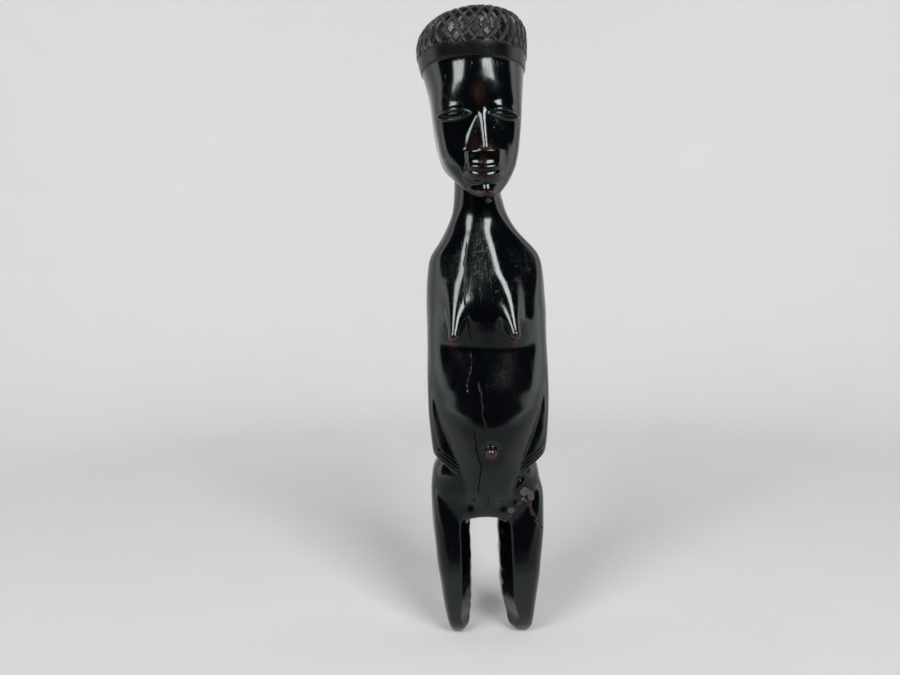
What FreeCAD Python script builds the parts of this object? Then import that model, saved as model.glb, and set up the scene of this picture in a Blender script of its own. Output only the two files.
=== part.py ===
import FreeCAD, Part
import os
import Sketcher
from FreeCAD import Vector, Placement, Rotation

# Standing female figure carved from one billet of dense black hardwood.
# Frame: millimetres, +Z up, the figure faces -Y, its left side is at +X.
# Origin: bottom centre of the figure's bounding box, both leg tips on Z = 0.
#
# Real separate pieces: the carved body, the left leg (snapped off below the
# hip and glued back on), the film of glue in that break, lumps of repair putty
# at the top of the break, and the wax filler in the drying check of the front.

doc = FreeCAD.newDocument("fertility_figure")
sheet = doc.addObject("Spreadsheet::Sheet", "sizes")
row_count = [0]


def cell(alias, value):
    row_count[0] += 1
    address = "B%d" % row_count[0]
    sheet.set("A%d" % row_count[0], alias)
    sheet.set(address, "%.4f" % value)
    sheet.setAlias(address, alias)
    return "sizes." + alias


# ---------------------------------------------------------------- tables
# Every loft is a stack of level ellipses: height, centre x, centre y,
# half width (x), half depth (y).

# Hips, belly, chest, shoulders and neck, from the crotch up.
TRUNK = [
    (52.0, -0.2, 0.8, 23.4, 12.6),
    (57.0, -0.3, 1.3, 24.1, 14.4),
    (64.0, -0.4, 1.6, 24.3, 16.4),
    (72.0, -0.5, 1.0, 22.6, 17.0),
    (80.0, 0.0, -0.4, 20.8, 17.6),
    (90.0, 0.3, -1.8, 21.6, 17.7),
    (104.0, 0.5, -2.2, 23.2, 17.3),
    (118.0, 0.6, -1.4, 24.4, 16.6),
    (132.0, 0.5, -0.4, 24.8, 16.6),
    (148.0, 0.4, 0.6, 24.6, 16.6),
    (158.0, 0.3, 1.0, 24.2, 16.2),
    (165.0, 0.3, 1.3, 22.9, 15.0),
    (170.5, 0.2, 1.4, 20.8, 13.8),
    (176.0, -0.6, 1.4, 16.9, 12.6),
    (182.0, -1.5, 1.2, 13.2, 11.4),
    (189.0, -2.0, 0.8, 10.9, 10.6),
    (197.0, -2.3, 0.4, 10.3, 10.1),
    (206.0, -2.6, 0.4, 10.2, 10.0),
]

# Chest block, whose lower edge overhangs the belly in a step.
CHEST = [
    (126.6, -0.6, -5.6, 20.6, 13.6),
    (129.0, -0.6, -5.6, 21.6, 14.0),
    (138.0, -0.3, -4.8, 22.4, 13.4),
    (150.0, 0.0, -3.2, 22.4, 11.8),
    (160.0, 0.2, -1.4, 21.0, 10.4),
]

# Head, from the underside of the chin to the hair line.
HEAD = [
    (189.3, -0.4, -12.8, 4.6, 6.4),
    (191.4, -0.8, -11.0, 7.4, 9.8),
    (195.0, -1.4, -7.8, 10.2, 13.4),
    (200.0, -1.8, -4.6, 12.7, 16.6),
    (206.0, -2.2, -2.2, 15.6, 18.9),
    (212.0, -2.6, -0.6, 17.3, 20.2),
    (222.0, -2.9, 0.8, 18.8, 21.2),
    (232.0, -3.1, 1.4, 19.9, 22.0),
    (242.0, -3.3, 1.6, 21.2, 22.8),
    (250.0, -3.8, 1.6, 22.0, 23.2),
    (262.0, -3.8, 1.6, 21.0, 21.8),
]

# Cap of cross-hatched hair with its plain band, standing proud of the head.
CAP = [
    (245.0, -3.9, 1.4, 22.2, 23.5),
    (248.0, -4.1, 1.4, 22.8, 24.1),
    (253.0, -4.3, 1.5, 23.2, 24.5),
    (259.0, -4.1, 1.6, 22.7, 23.9),
    (264.0, -3.7, 1.8, 20.9, 22.0),
    (267.6, -3.3, 2.0, 17.6, 18.6),
    (269.9, -2.8, 2.2, 12.2, 13.0),
    (270.9, -2.5, 2.4, 6.0, 6.6),
]

# Legs: short, tapering, no feet, blunt rounded tips.
RIGHT_LEG = [
    (0.0, -14.9, 0.6, 3.4, 8.4),
    (1.6, -14.4, 0.6, 4.3, 9.2),
    (6.0, -14.1, 0.6, 5.1, 10.0),
    (16.0, -14.6, 0.4, 6.3, 11.4),
    (30.0, -15.3, 0.2, 7.2, 13.0),
    (44.0, -15.9, 0.6, 7.9, 13.9),
    (54.0, -15.4, 1.2, 7.9, 13.9),
    (66.0, -12.6, 1.4, 6.4, 10.8),
]
LEFT_LEG = [
    (0.0, 14.9, 0.6, 3.6, 8.4),
    (1.6, 14.3, 0.6, 4.6, 9.2),
    (6.0, 13.7, 0.6, 5.6, 10.0),
    (16.0, 13.0, 0.4, 7.9, 11.4),
    (30.0, 13.2, 0.2, 8.9, 13.0),
    (44.0, 14.1, 0.6, 9.7, 13.9),
    (54.0, 13.8, 1.2, 9.7, 13.9),
    (66.0, 11.4, 1.4, 7.6, 10.8),
]

# Arms: carved along the flanks, with the hands lying on the hips.
RIGHT_ARM = [
    (72.6, -16.6, -5.6, 3.0, 4.6),
    (75.4, -18.0, -4.6, 4.5, 7.4),
    (80.0, -19.3, -2.2, 5.0, 9.2),
    (88.0, -20.0, -0.4, 5.2, 10.0),
    (102.0, -20.4, 0.8, 5.3, 10.6),
    (120.0, -20.6, 1.2, 5.3, 11.4),
    (145.0, -20.0, 1.6, 5.2, 12.0),
    (158.0, -18.6, 1.6, 5.0, 11.4),
    (168.0, -14.8, 1.6, 3.6, 8.4),
]
LEFT_ARM = [
    (72.8, 16.6, -5.6, 3.0, 4.6),
    (75.6, 18.0, -4.6, 4.6, 7.4),
    (80.0, 19.6, -2.2, 5.1, 9.2),
    (88.0, 20.8, -0.4, 5.4, 10.0),
    (102.0, 21.7, 0.8, 5.4, 10.6),
    (120.0, 21.8, 1.2, 5.4, 11.4),
    (145.0, 20.9, 1.6, 5.2, 12.0),
    (158.0, 19.2, 1.6, 5.0, 11.4),
    (168.0, 15.2, 1.6, 3.6, 8.4),
]

# Line of the break in the left leg, an inverted V seen from the front (x, z),
# from the inner side of the thigh to the outer side.
BREAK = [
    (0.9, 50.6),
    (5.1, 53.4),
    (10.6, 57.2),
    (12.7, 60.8),
    (15.7, 64.2),
    (17.6, 60.0),
    (19.3, 55.3),
    (23.6, 47.6),
    (27.6, 41.6),
]

# Centre line of the filled drying check on the belly, seen from the front (x, z).
CHECK = [
    (-4.2, 120.5),
    (-4.0, 113.7),
    (-3.0, 107.9),
    (-2.9, 102.9),
    (-1.4, 93.0),
]


def put_table(name, table):
    for i, (z, cx, cy, a, b) in enumerate(table):
        for tag, value in (("lvl", z), ("cx", cx), ("cy", cy), ("hw", a), ("hd", b)):
            cell("%s_%s_%02d" % (name, tag, i + 1), value)


TABLES = {
    "trunk": TRUNK,
    "chest": CHEST,
    "head": HEAD,
    "cap": CAP,
    "right_leg": RIGHT_LEG,
    "left_leg": LEFT_LEG,
    "right_arm": RIGHT_ARM,
    "left_arm": LEFT_ARM,
}
for table_name, table in TABLES.items():
    put_table(table_name, table)
for i, (x, z) in enumerate(BREAK):
    cell("break_x_%02d" % (i + 1), x)
    cell("break_lvl_%02d" % (i + 1), z)
for i, (x, z) in enumerate(CHECK):
    cell("check_x_%02d" % (i + 1), x)
    cell("check_lvl_%02d" % (i + 1), z)

cell("glue_thickness", 0.35)
cell("check_width", 0.7)
cell("check_depth", 5.0)
cell("slab_depth", 60.0)
cell("breast_root_rad", 9.8)
cell("breast_tip_rad", 2.3)
cell("breast_length", 28.0)
cell("navel_rad", 3.1)
cell("eye_length", 6.8)
cell("eye_height", 2.7)
cell("eye_relief", 2.2)
cell("nose_width", 4.2)
cell("nose_root_width", 1.9)
cell("nose_length", 15.0)
cell("nose_projection", 3.4)
cell("mouth_width", 14.2)
cell("mouth_height", 11.8)
cell("mouth_round", 1.6)
cell("mouth_thickness", 7.0)
cell("putty_rad", 2.4)
doc.recompute()


def value(alias):
    return float(sheet.get(alias))


# ---------------------------------------------------------------- lofts
def origin_plane(body, role):
    for feature in body.Origin.OriginFeatures:
        if feature.Role == role:
            return feature
    raise RuntimeError("no plane " + role)


def level_ellipse(body, name, tag, i, a, b):
    """One level of a loft: a fully constrained ellipse on its own height."""
    sketch = body.newObject("Sketcher::SketchObject", "%s_level_%02d" % (name, i))
    sketch.AttachmentSupport = [(origin_plane(body, "XY_Plane"), "")]
    sketch.MapMode = "FlatFace"
    cx, cy = value("%s_cx_%02d" % (tag, i)), value("%s_cy_%02d" % (tag, i))
    centre = Vector(cx, cy, 0)
    along_x = a >= b
    if along_x:
        major, minor = Vector(cx + a, cy, 0), Vector(cx, cy + b, 0)
    else:
        major, minor = Vector(cx, cy + b, 0), Vector(cx - a, cy, 0)
    sketch.addGeometry(Part.Ellipse(major, minor, centre), False)
    back = centre * 2 - major
    side = centre * 2 - minor
    sketch.addGeometry(Part.LineSegment(back, major), True)
    sketch.addGeometry(Part.LineSegment(side, minor), True)
    add = sketch.addConstraint
    add(Sketcher.Constraint("InternalAlignment:EllipseMajorDiameter", 1, 0))
    add(Sketcher.Constraint("InternalAlignment:EllipseMinorDiameter", 2, 0))
    add(Sketcher.Constraint("Horizontal" if along_x else "Vertical", 1))
    long_alias, short_alias = ("hw", "hd") if along_x else ("hd", "hw")
    c = add(Sketcher.Constraint("DistanceX", -1, 1, 0, 3, cx))
    sketch.setExpression("Constraints[%d]" % c, "sizes.%s_cx_%02d" % (tag, i))
    c = add(Sketcher.Constraint("DistanceY", -1, 1, 0, 3, cy))
    sketch.setExpression("Constraints[%d]" % c, "sizes.%s_cy_%02d" % (tag, i))
    c = add(Sketcher.Constraint("Distance", 1, 2 * max(a, b)))
    sketch.setExpression("Constraints[%d]" % c, "2 * sizes.%s_%s_%02d" % (tag, long_alias, i))
    c = add(Sketcher.Constraint("Distance", 2, 2 * min(a, b)))
    sketch.setExpression("Constraints[%d]" % c, "2 * sizes.%s_%s_%02d" % (tag, short_alias, i))
    sketch.AttachmentOffset = Placement(Vector(0, 0, value("%s_lvl_%02d" % (tag, i))), Rotation())
    sketch.setExpression(".AttachmentOffset.Base.z", "sizes.%s_lvl_%02d" % (tag, i))
    return sketch


def loft_body(name, tag, table):
    body = doc.addObject("PartDesign::Body", name)
    sketches = [
        level_ellipse(body, name, tag, i + 1, a, b)
        for i, (z, cx, cy, a, b) in enumerate(table)
    ]
    loft = body.newObject("PartDesign::AdditiveLoft", name + "_loft")
    loft.Profile = sketches[0]
    loft.Sections = sketches[1:]
    loft.Ruled = False
    loft.Closed = False
    return body


trunk = loft_body("trunk_blank", "trunk", TRUNK)
chest = loft_body("chest_blank", "chest", CHEST)
head = loft_body("head_blank", "head", HEAD)
cap = loft_body("cap_blank", "cap", CAP)
right_leg = loft_body("right_leg_blank", "right_leg", RIGHT_LEG)
left_leg_blank = loft_body("left_leg_blank", "left_leg", LEFT_LEG)
right_arm = loft_body("right_arm_blank", "right_arm", RIGHT_ARM)
left_arm = loft_body("left_arm_blank", "left_arm", LEFT_ARM)


# ---------------------------------------------------------------- carved features
def aim(start, end):
    """Placement at start whose Z axis points to end."""
    return Placement(start, Rotation(Vector(0, 0, 1), end - start))


def breast(name, root, tip):
    cone = doc.addObject("Part::Cone", name)
    cone.Placement = aim(root, tip)
    cone.setExpression("Radius1", "sizes.breast_root_rad")
    cone.setExpression("Radius2", "sizes.breast_tip_rad")
    cone.setExpression("Height", "sizes.breast_length")
    end = doc.addObject("Part::Sphere", name + "_tip")
    direction = (tip - root).normalize()
    end.Placement = Placement(root + direction * value("breast_length"), Rotation())
    end.setExpression("Radius", "1.02 * sizes.breast_tip_rad")
    return [cone, end]


features = []
features += breast("right_breast", Vector(-10.4, -5.6, 156.6), Vector(-14.2, -21.4, 132.8))
features += breast("left_breast", Vector(8.8, -5.6, 156.6), Vector(11.2, -21.4, 133.0))

navel = doc.addObject("Part::Sphere", "navel")
navel.setExpression("Radius", "sizes.navel_rad")
navel.Placement = Placement(Vector(0.5, -17.6, 84.0), Rotation())
features.append(navel)


def eye(name, x, y, z, turn):
    lid = doc.addObject("Part::Ellipsoid", name)
    lid.setExpression("Radius1", "sizes.eye_height")
    lid.setExpression("Radius2", "sizes.eye_length")
    lid.setExpression("Radius3", "sizes.eye_relief")
    # Radius1 runs up, Radius2 across the face, Radius3 out of the face
    lid.Placement = Placement(Vector(x, y, z), Rotation(Vector(0, 0, 1), turn))
    return lid


features.append(eye("right_eye", -12.0, -16.6, 223.5, -24))
features.append(eye("left_eye", 7.8, -16.4, 223.8, 28))

# Nose: a straight narrow ridge that widens and rises to its tip.
nose = doc.addObject("Part::Wedge", "nose")
nose.Placement = Placement(Vector(-0.4, -19.2, 223.6), Rotation(Vector(1, 0, 0), -90))
nose.setExpression("Ymin", "0 * sizes.nose_length")
nose.setExpression("Ymax", "sizes.nose_length")
nose.setExpression("Xmin", "-sizes.nose_root_width / 2")
nose.setExpression("Xmax", "sizes.nose_root_width / 2")
nose.setExpression("X2min", "-sizes.nose_width / 2")
nose.setExpression("X2max", "sizes.nose_width / 2")
nose.setExpression("Zmin", "-sizes.nose_projection")
nose.setExpression("Zmax", "0.4 * sizes.nose_projection")
nose.setExpression("Z2min", "-sizes.nose_projection")
nose.setExpression("Z2max", "sizes.nose_projection")
features.append(nose)

# Mouth: the plain upright block that the lips are cut in.
mouth = doc.addObject("Part::Box", "mouth")
mouth.setExpression("Length", "sizes.mouth_width")
mouth.setExpression("Width", "sizes.mouth_thickness")
mouth.setExpression("Height", "sizes.mouth_height")
mouth.Placement = Placement(Vector(-7.8, -22.0, 196.8), Rotation())
mouth_block = doc.addObject("Part::Fillet", "mouth_block")
mouth_block.Base = mouth
doc.recompute()
mouth_block.Edges = [(i + 1, value("mouth_round"), value("mouth_round")) for i in range(12)]
features.append(mouth_block)

figure = doc.addObject("Part::MultiFuse", "whole_figure")
figure.Shapes = [trunk, chest, head, cap, right_leg, left_leg_blank, right_arm, left_arm] + features


# ---------------------------------------------------------------- break and check
def slab(name, points, aliases, depth_expression, start_y):
    """Closed outline in the XZ plane, padded along Y."""
    body = doc.addObject("PartDesign::Body", name)
    sketch = body.newObject("Sketcher::SketchObject", name + "_outline")
    sketch.AttachmentSupport = [(origin_plane(body, "XZ_Plane"), "")]
    sketch.MapMode = "FlatFace"
    count = len(points)
    for i in range(count):
        p, q = points[i], points[(i + 1) % count]
        sketch.addGeometry(Part.LineSegment(Vector(p[0], p[1], 0), Vector(q[0], q[1], 0)), False)
    for i in range(count):
        sketch.addConstraint(Sketcher.Constraint("Coincident", i, 2, (i + 1) % count, 1))
    for i in range(count):
        c = sketch.addConstraint(Sketcher.Constraint("DistanceX", -1, 1, i, 1, points[i][0]))
        sketch.setExpression("Constraints[%d]" % c, aliases[i][0])
        c = sketch.addConstraint(Sketcher.Constraint("DistanceY", -1, 1, i, 1, points[i][1]))
        sketch.setExpression("Constraints[%d]" % c, aliases[i][1])
    pad = body.newObject("PartDesign::Pad", name + "_pad")
    pad.Profile = sketch
    pad.Midplane = start_y is None
    pad.setExpression("Length", depth_expression)
    if start_y is not None:
        sketch.AttachmentOffset = Placement(Vector(0, 0, start_y), Rotation())
    return body


def bound(points, prefix, dx="0", dz="0"):
    """Points of a table moved by expressions, with the expressions that bind them."""
    out = []
    for i in range(len(points)):
        out.append(
            (
                "sizes.%s_x_%02d + %s" % (prefix, i + 1, dx),
                "sizes.%s_lvl_%02d + %s" % (prefix, i + 1, dz),
            )
        )
    return out


gap = value("glue_thickness")
n = len(BREAK)
# The film of glue: the break line, one film thickness high, through the thigh.
low = [(x, z) for x, z in BREAK]
high = [(x, z + gap) for x, z in BREAK]
film = slab(
    "glue_film",
    low + high[::-1],
    bound(low, "break") + bound(high, "break", "0", "sizes.glue_thickness")[::-1],
    "sizes.slab_depth",
    None,
)
# Everything of the left leg lies below the break line.
below = low + [(low[-1][0], -4.0), (low[0][0], -4.0)]
leg_side = slab(
    "leg_side",
    below,
    bound(low, "break")
    + [("sizes.break_x_%02d + 0" % n, "-4 + 0"), ("sizes.break_x_01 + 0", "-4 + 0")],
    "sizes.slab_depth",
    None,
)
# Drying check: a narrow wandering slot in the front of the belly, filled.
half = value("check_width") / 2
m = len(CHECK)
centre = list(CHECK)
left_edge = [(x - half, z) for x, z in centre[1:-1]]
right_edge = [(x + half, z) for x, z in centre[1:-1]]
left_bound = bound(centre, "check", "-sizes.check_width / 2")[1:-1]
right_bound = bound(centre, "check", "sizes.check_width / 2")[1:-1]
tip_bound = bound(centre, "check")
check_slab = slab(
    "check_slot",
    [centre[0]] + left_edge + [centre[-1]] + right_edge[::-1],
    [tip_bound[0]] + left_bound + [tip_bound[-1]] + right_bound[::-1],
    "sizes.check_depth",
    16.0,
)

splits = doc.addObject("Part::MultiFuse", "cut_regions")
splits.Shapes = [film, leg_side, check_slab]

carved_body = doc.addObject("Part::Cut", "carved_body")
carved_body.Base = figure
carved_body.Tool = splits

left_leg = doc.addObject("Part::Common", "left_leg")
left_leg.Base = figure
left_leg.Tool = leg_side

break_glue = doc.addObject("Part::Common", "break_glue")
break_glue.Base = figure
break_glue.Tool = film

check_filler = doc.addObject("Part::Common", "check_filler")
check_filler.Base = figure
check_filler.Tool = check_slab

doc.recompute()

# Putty: flattened lumps pressed on the skin at the top of the break.
lumps = []
for i, (x, y, z, scale) in enumerate(
    [(15.6, -11.3, 64.6, 1.0), (17.8, -10.3, 62.8, 0.9), (9.4, -12.0, 57.6, 0.7)]
):
    lump = doc.addObject("Part::Sphere", "putty_lump_%d" % (i + 1))
    lump.setExpression("Radius", "%.3f * sizes.putty_rad" % scale)
    lump.Placement = Placement(Vector(x, y, z), Rotation())
    lumps.append(lump)
putty_ball = doc.addObject("Part::MultiFuse", "putty_lumps")
putty_ball.Shapes = lumps
repair_putty = doc.addObject("Part::Cut", "repair_putty")
repair_putty.Base = putty_ball
repair_putty.Tool = figure
doc.recompute()

PARTS = {
    "carved_body": carved_body,
    "left_leg": left_leg,
    "break_glue": break_glue,
    "repair_putty": repair_putty,
    "check_filler": check_filler,
}

# ---------------------------------------------------------------- checks and export
for item in doc.Objects:
    if "Invalid" in item.State or "Error" in item.State:
        raise RuntimeError("%s failed: %s" % (item.Name, item.State))
for name, item in PARTS.items():
    item.Label = name
    if item.Shape.isNull() or not item.Shape.isValid():
        raise RuntimeError("bad shape " + name)

os.makedirs("parts", exist_ok=True)
for name, item in PARTS.items():
    item.Shape.exportStep("parts/%s.step" % name)
    box = item.Shape.BoundBox
    print(
        "%-14s solids %d  volume %.1f  x %.1f..%.1f  y %.1f..%.1f  z %.1f..%.1f"
        % (name, len(item.Shape.Solids), item.Shape.Volume, box.XMin, box.XMax, box.YMin, box.YMax, box.ZMin, box.ZMax)
    )
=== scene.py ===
import bpy
import math
import numpy as np
from mathutils import Matrix, Vector


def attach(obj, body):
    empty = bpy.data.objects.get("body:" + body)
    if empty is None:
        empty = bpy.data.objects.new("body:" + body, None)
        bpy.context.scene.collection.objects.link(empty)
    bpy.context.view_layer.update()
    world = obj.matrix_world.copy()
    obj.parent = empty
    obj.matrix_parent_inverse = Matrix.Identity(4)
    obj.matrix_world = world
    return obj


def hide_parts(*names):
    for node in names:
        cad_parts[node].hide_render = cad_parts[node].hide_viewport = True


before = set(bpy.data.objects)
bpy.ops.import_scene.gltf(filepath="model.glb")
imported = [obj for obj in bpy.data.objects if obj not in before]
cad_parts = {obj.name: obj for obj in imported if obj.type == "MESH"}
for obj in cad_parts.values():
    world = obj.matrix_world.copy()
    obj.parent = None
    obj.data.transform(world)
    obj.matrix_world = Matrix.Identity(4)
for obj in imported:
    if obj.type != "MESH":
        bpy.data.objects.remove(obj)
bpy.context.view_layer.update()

# ------------------------------------------------------------------ sculpting
# The figure is one implicit surface, in millimetres, sampled into meshes. The
# tables give each level's size; everything finer is carved out of that.
LEVELS = np.arange(-20.0, 300.0, 0.5)


def table(pairs, soft=2.2):
    """Values over height, interpolated and then smoothed."""
    z = np.array([p[0] for p in pairs], float)
    v = np.array([p[1] for p in pairs], float)
    order = np.argsort(z)
    raw = np.interp(LEVELS, z[order], v[order])
    if soft > 0:
        reach = int(soft * 8)
        k = np.exp(-0.5 * (np.arange(-reach, reach + 1) * 0.5 / soft) ** 2)
        k /= k.sum()
        raw = np.convolve(np.pad(raw, reach, mode="edge"), k, mode="valid")
    return raw


def at(values, z):
    """A table read at any height, with no kinks between its levels."""
    h = LEVELS[1] - LEVELS[0]
    q = np.clip((np.asarray(z, float) - LEVELS[0]) / h, 1.0, len(LEVELS) - 3.001)
    i = q.astype(int)
    t = q - i
    t2, t3 = t * t, t * t * t
    return (
        (1 - 3 * t + 3 * t2 - t3) * values[i - 1]
        + (4 - 6 * t2 + 3 * t3) * values[i]
        + (1 + 3 * t + 3 * t2 - 3 * t3) * values[i + 1]
        + t3 * values[i + 2]
    ) / 6.0


def smin(a, b, k):
    h = np.maximum(k - np.abs(a - b), 0.0) / k
    return np.minimum(a, b) - h * h * h * k / 6.0


def smax(a, b, k):
    return -smin(-a, -b, k)


def step(a, b, t):
    s = np.clip((t - a) / (b - a), 0.0, 1.0)
    return s * s * (3.0 - 2.0 * s)


def section(x, y, cx, cy, a, front, back, p):
    """Distance-like value of one level's outline: half width a, its own depth in front and behind."""
    dy = y - cy
    b = np.where(dy < 0, front, back)
    u = np.abs((x - cx) / a) + 1e-6
    v = np.abs(dy / b) + 1e-6
    g = (u**p + v**p) ** (1.0 / p)
    slope = g ** (1.0 - p) * np.sqrt((u ** (p - 1.0) / a) ** 2 + (v ** (p - 1.0) / b) ** 2)
    return (g - 1.0) / slope


def capsule(x, y, z, a, b, ra, rb):
    """Rounded cone from a to b."""
    a, b = np.array(a, float), np.array(b, float)
    d = b - a
    t = np.clip(((x - a[0]) * d[0] + (y - a[1]) * d[1] + (z - a[2]) * d[2]) / d.dot(d), 0, 1)
    s = t * t * (3 - 2 * t) * 0.25 + t * 0.75
    r = ra + (rb - ra) * s
    return (
        np.sqrt((x - a[0] - t * d[0]) ** 2 + (y - a[1] - t * d[1]) ** 2 + (z - a[2] - t * d[2]) ** 2)
        - r
    )


def ellipsoid(x, y, z, c, r):
    u, v, w = (x - c[0]) / r[0], (y - c[1]) / r[1], (z - c[2]) / r[2]
    k0 = np.sqrt(u * u + v * v + w * w) + 1e-9
    k1 = np.sqrt((u / r[0]) ** 2 + (v / r[1]) ** 2 + (w / r[2]) ** 2) + 1e-9
    return k0 * (k0 - 1.0) / k1


def line_dist(x, z, points):
    """Distance in the XZ plane to a polyline, and how far along it."""
    best = np.full(x.shape, 1e9)
    along = np.zeros(x.shape)
    run = 0.0
    for (ax, az), (bx, bz) in zip(points[:-1], points[1:]):
        dx, dz = bx - ax, bz - az
        length = math.hypot(dx, dz)
        t = np.clip(((x - ax) * dx + (z - az) * dz) / (length * length), 0, 1)
        d = np.hypot(x - ax - t * dx, z - az - t * dz)
        nearer = d < best
        best = np.where(nearer, d, best)
        along = np.where(nearer, run + t * length, along)
        run += length
    return best, along, run


def waves(seed, count, shortest, longest):
    rng = np.random.default_rng(seed)
    d = rng.normal(size=(count, 3))
    d /= np.linalg.norm(d, axis=1)[:, None]
    w = np.exp(rng.uniform(np.log(shortest), np.log(longest), count))
    return d * (2 * np.pi / w)[:, None], rng.uniform(0, 2 * np.pi, count)


def ripple(x, y, z, wave, stretch=(1.0, 1.0, 1.0)):
    k, phase = wave
    total = np.zeros(x.shape)
    for (kx, ky, kz), ph in zip(k, phase):
        total += np.sin(kx * x * stretch[0] + ky * y * stretch[1] + kz * z * stretch[2] + ph)
    return total / math.sqrt(len(phase))


HAND = waves(3, 14, 14.0, 40.0)  # slow unevenness of a hand-carved surface
KNIFE = waves(5, 16, 3.0, 9.0)  # finer tool work
CHIP = waves(8, 18, 1.6, 4.5)

# ---- chest, arms and neck: outline of the whole figure at each height
OUT_L = [(60, -25.0), (76, -23.6), (78, -23.4), (80.7, -23.9), (86.1, -24.6), (91.5, -25.1), (96.9, -25.6), (102.3, -25.9), (110.3, -26.0), (118.3, -26.0), (128.9, -25.8), (139.5, -25.8), (147.4, -25.6), (155.3, -25.4), (160.5, -24.9), (163.1, -24.4), (165.7, -24.0), (168.3, -22.9), (170.9, -21.2), (173.5, -19.5), (176.1, -17.9), (178.7, -16.5), (181.3, -15.3), (183.8, -14.1), (186.4, -13.3), (189.0, -12.9), (191.6, -12.6), (194.2, -12.6), (205, -12.4)]
OUT_R = [(60, 24.0), (74.5, 22.7), (77.2, 23.8), (79.9, 24.7), (85.2, 25.9), (90.6, 26.5), (96.0, 27.0), (101.3, 27.3), (109.3, 27.5), (117.3, 27.4), (128.0, 27.1), (138.6, 26.7), (146.5, 26.5), (154.4, 26.0), (159.6, 25.6), (162.3, 25.3), (164.9, 24.7), (167.5, 23.7), (170.2, 21.8), (172.8, 19.2), (175.5, 16.6), (178.1, 14.2), (180.8, 12.4), (183.4, 10.9), (186.0, 9.7), (188.6, 8.8), (191.2, 8.2), (193.8, 7.4), (205, 7.2)]
T_L, T_R = table(OUT_L, 1.2), table(OUT_R, 1.2)
A_FRONT = table([(66, 12.4), (72, 14.0), (76, 14.6), (80, 14.3), (87, 13.5), (95, 12.6), (105, 11.9), (111, 12.6), (118, 15.6), (124, 17.9), (126.5, 18.6), (128, 18.9), (132, 19.5), (136, 20.2), (140, 20.7), (143, 20.6), (146, 19.9), (150, 18.2), (155, 16.0), (160, 14.1), (165, 12.7), (170, 11.8), (174.5, 11.2), (178, 11.2), (181, 11.35), (184, 11.5), (190, 11.6), (200, 11.5)], 1.4)
MOUTH = table([(194.0, -18.4), (196.0, -20.0), (197.0, -21.0), (198.0, -21.5), (198.8, -21.3), (199.3, -20.4), (199.9, -21.8), (200.6, -22.4), (201.4, -22.1), (202.4, -21.6), (203.4, -21.2), (204.4, -21.1), (205.5, -21.3), (207.0, -21.7), (208.6, -21.9), (210, -22.0)], 0.62)
C_FRONT = table([(140, 20.4), (146, 20.7), (150, 20.0), (155, 18.9), (160, 17.6), (165, 16.2), (170, 14.9), (174.5, 13.6), (178, 12.4), (181, 11.4), (184, 10.2), (190, 8.0), (200, 6.0)], 1.4)
C_RIGHT = table([(137, 11.0), (178, 1.4), (190, -1.2), (200, -1.2)], 2.0)
C_LEFT = table([(139.8, -14.8), (179.6, -6.5), (190, -4.6), (200, -4.6)], 2.0)
A_BACK = table([(60, 14.5), (80, 14.0), (100, 13.6), (120, 14.6), (145, 15.6), (158, 15.4), (165, 14.4), (172, 12.8), (178, 11.4), (184, 10.3), (190, 9.7), (205, 9.6)], 3.0)
A_POW = table([(70, 5.4), (95, 5.0), (104, 4.2), (112, 3.0), (120, 2.4), (128, 2.3), (140, 2.3), (150, 2.05), (160, 2.0), (190, 2.0)], 2.5)

# ---- belly
B_WIDE = table([(50, 19.5), (60, 19.6), (66, 18.9), (72, 18.2), (76.5, 18.3), (80.5, 19.2), (87, 21.0), (93.5, 23.0), (100, 24.6), (107, 25.4), (112, 25.8), (118, 26.1), (126, 25.9), (132, 25.0), (140, 22.0)], 1.8)
B_FRONT = table([(48, 12.6), (52, 13.8), (56, 15.2), (62, 16.8), (70, 18.6), (76, 20.0), (84, 21.9), (90, 22.9), (95, 23.3), (100, 23.1), (110, 22.0), (118, 20.6), (126.5, 19.15), (132, 18.2), (140, 16.0)], 1.2)

B_POW = table([(50, 2.15), (105, 2.15), (118, 2.35), (127, 2.6)], 2.0)

# ---- hips
H_L = table([(44, -23.9), (50.9, -24.4), (56.4, -24.8), (61.8, -25.0), (67, -25.0), (69.9, -24.8), (72.6, -24.5), (75.3, -23.9), (77.5, -22.8), (80, -21.4), (86, -17.0)], 0.9)
H_R = table([(44, 23.9), (50.9, 24.2), (56.4, 24.2), (61.8, 24.0), (67, 23.5), (69.9, 23.1), (72.6, 22.6), (74.5, 22.2), (77, 21.4), (80, 20.4), (86, 17.0)], 0.9)
H_FRONT = table([(48, 11.4), (52, 12.0), (56, 13.0), (60, 13.9), (66, 14.6), (72, 14.5), (76, 14.2), (80, 13.6), (86, 12.0)], 1.2)
H_BACK = table([(46, 13.6), (52, 15.0), (58, 16.6), (64, 17.4), (70, 17.0), (78, 15.0), (86, 12.5)], 2.2)

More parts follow.
